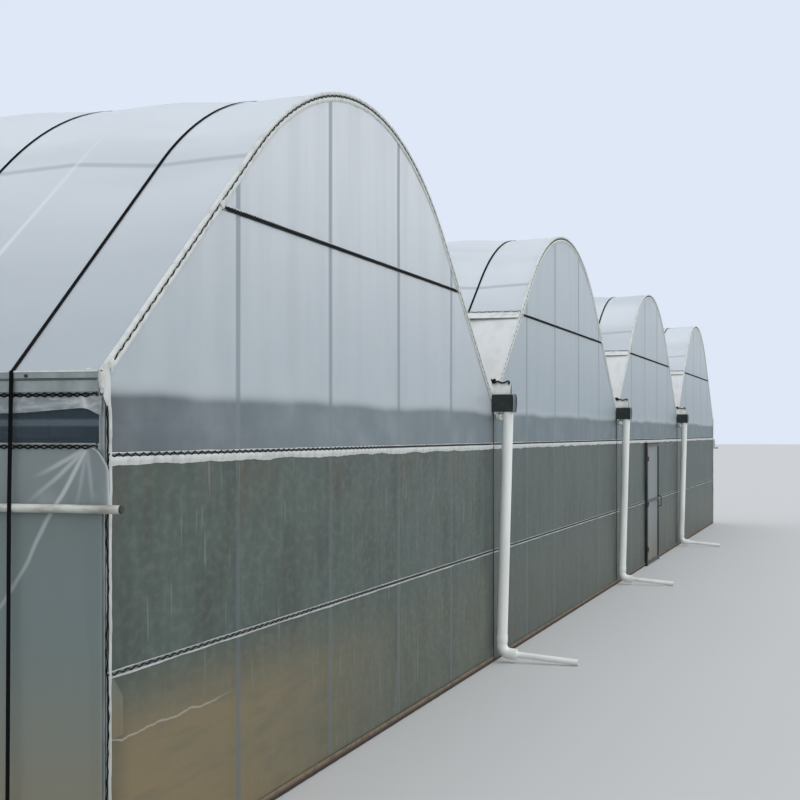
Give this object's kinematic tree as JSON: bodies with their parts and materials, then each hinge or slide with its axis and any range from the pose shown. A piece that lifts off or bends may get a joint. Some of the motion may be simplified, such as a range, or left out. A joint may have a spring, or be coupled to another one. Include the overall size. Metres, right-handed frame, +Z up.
{
  "type": "multi-span greenhouse",
  "caption": "Film-covered greenhouse block of bow-roofed spans with gutters, downpipes, roll-up side vents and a gable door.",
  "frame": {"origin": "middle of the plan at ground level", "axes": "+X along the gable wall from span to span, +Y along the gutters away from the door end, +Z up"},
  "size_m": [32.218, 14.9932, 4.6798],
  "materials": {
    "galvanised_column": "dull galvanised",
    "galvanised_sheet": "dull galvanised sheet",
    "galvanised_tube": "dull galvanised tube",
    "galvanised_post": "dull galvanised tube",
    "lock_channel": "satin",
    "roof_film": "milky greenhouse film",
    "gable_arch_film": "milky greenhouse film",
    "wall_film": "dusty clear film",
    "curtain_film": "dusty clear film",
    "vent_net": "fine dark insect net",
    "roll_tube": "white film rolled on a tube",
    "black_webbing": "black flat cord",
    "dark_outlet": "dark plastic",
    "white_pvc": "weathered white",
    "black_door_frame": "black paint",
    "door_leaf_tube": "dull galvanised",
    "door_film": "dusty film",
    "hinge_steel": "dull steel"
  },
  "bodies": {
    "building": {"arches_span_1": "galvanised_tube", "arches_span_2": "galvanised_tube", "arches_span_3": "galvanised_tube", "arches_span_4": "galvanised_tube", "column_line_1": "galvanised_column", "column_line_2": "galvanised_column", "column_line_3": "galvanised_column", "column_line_4": "galvanised_column", "column_line_5": "galvanised_column", "curtain_roll_tube_left": "roll_tube", "curtain_roll_tube_right": "roll_tube", "door_frame": "black_door_frame", "door_hinges": "hinge_steel", "downpipes_back": "white_pvc", "downpipes_front": "white_pvc", "eave_beam_left": "galvanised_sheet", "eave_beam_right": "galvanised_sheet", "gable_arch_channels_back": "lock_channel", "gable_arch_channels_front": "lock_channel", "gable_arch_film_back": "gable_arch_film", "gable_arch_film_front": "gable_arch_film", "gable_posts_back": "galvanised_post", "gable_posts_front": "galvanised_post", "gable_rails_back": "lock_channel", "gable_rails_front": "lock_channel", "gable_wall_film_back": "wall_film", "gable_wall_film_front": "wall_film", "outlet_boxes_back": "dark_outlet", "outlet_boxes_front": "dark_outlet", "press_cords_span_1": "black_webbing", "press_cords_span_2": "black_webbing", "press_cords_span_3": "black_webbing", "press_cords_span_4": "black_webbing", "purlins": "galvanised_tube", "roof_film_span_1": "roof_film", "roof_film_span_2": "roof_film", "roof_film_span_3": "roof_film", "roof_film_span_4": "roof_film", "roof_vent_rails": "lock_channel", "side_curtain_left": "curtain_film", "side_curtain_right": "curtain_film", "side_rails_left": "lock_channel", "side_rails_right": "lock_channel", "side_wall_film_left": "wall_film", "side_wall_film_right": "wall_film", "tie_bars": "galvanised_tube", "tie_uprights": "galvanised_tube", "valley_gutter_1": "galvanised_sheet", "valley_gutter_2": "galvanised_sheet", "valley_gutter_3": "galvanised_sheet", "vent_net_left": "vent_net", "vent_net_right": "vent_net"},
    "door": {"door_leaf": "door_leaf_tube", "door_film": "door_film"}
  },
  "joints": [
    {"name": "door_hinge", "type": "hinge", "parent": "building", "child": "door", "pos_m": [3.254, -6.698, 1], "axis": [0, 0, -1], "range_deg": [0, 105]}
  ]
}
